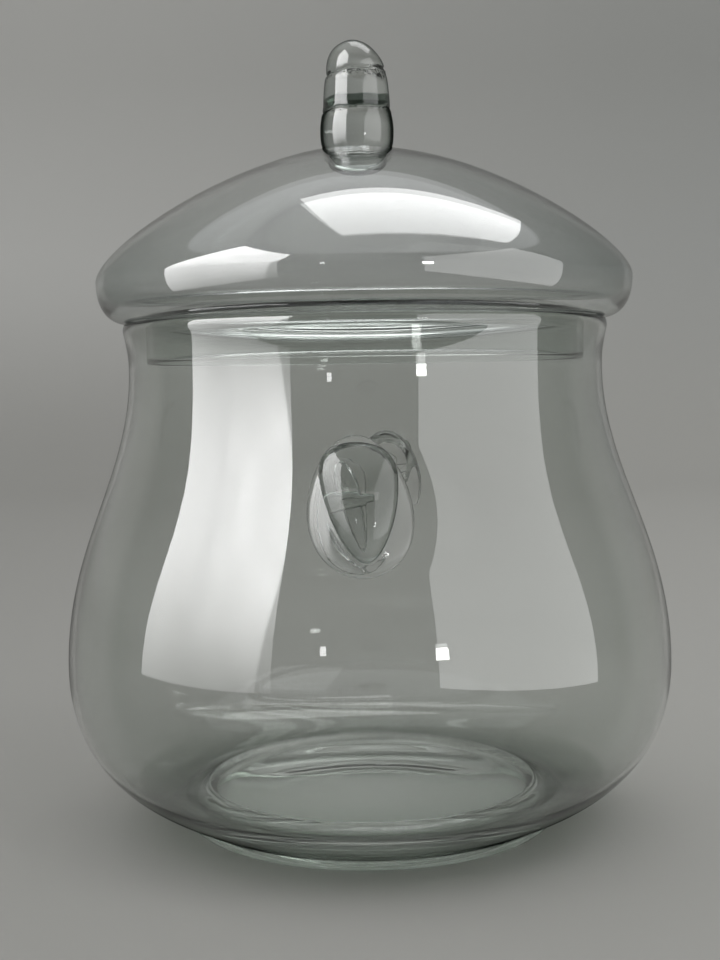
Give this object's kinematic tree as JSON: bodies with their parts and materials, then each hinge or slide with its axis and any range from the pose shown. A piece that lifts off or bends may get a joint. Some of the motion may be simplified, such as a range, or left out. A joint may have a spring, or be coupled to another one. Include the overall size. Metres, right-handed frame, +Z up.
{
  "type": "specimen jar",
  "caption": "Lidded display jar in clear glass: pear-shaped body on a foot ring, lug handles on the shoulder, lift-off domed lid with a locating collar and a solid knob.",
  "frame": {"origin": "middle of the foot ring's ground underside, on the surface that the jar stands on", "axes": "+Z up along the jar's axis, -Y towards the front handle, +X to the right as seen from the front"},
  "size_m": [0.2504, 0.2504, 0.324],
  "materials": {
    "body_glass": "clear blown glass, thin wall, faint green where it thickens",
    "foot_glass": "thick clear glass, pale green, underside ground flat",
    "handle_glass": "hot-worked clear glass, smooth and rounded",
    "lid_glass": "clear blown glass, smooth",
    "collar_glass": "clear glass with a ground lower edge",
    "knob_glass": "solid clear glass, pale green"
  },
  "bodies": {
    "jar": {"jar_body": "body_glass", "foot_ring": "foot_glass", "handle_front": "handle_glass", "handle_rear": "handle_glass"},
    "lid": {"lid_dome": "lid_glass", "lid_collar": "collar_glass", "knob": "knob_glass"}
  },
  "joints": [
    {"name": "lid_lift", "type": "slide", "parent": "jar", "child": "lid", "axis": [0, 0, 1], "range_m": [0, 0.12]}
  ]
}
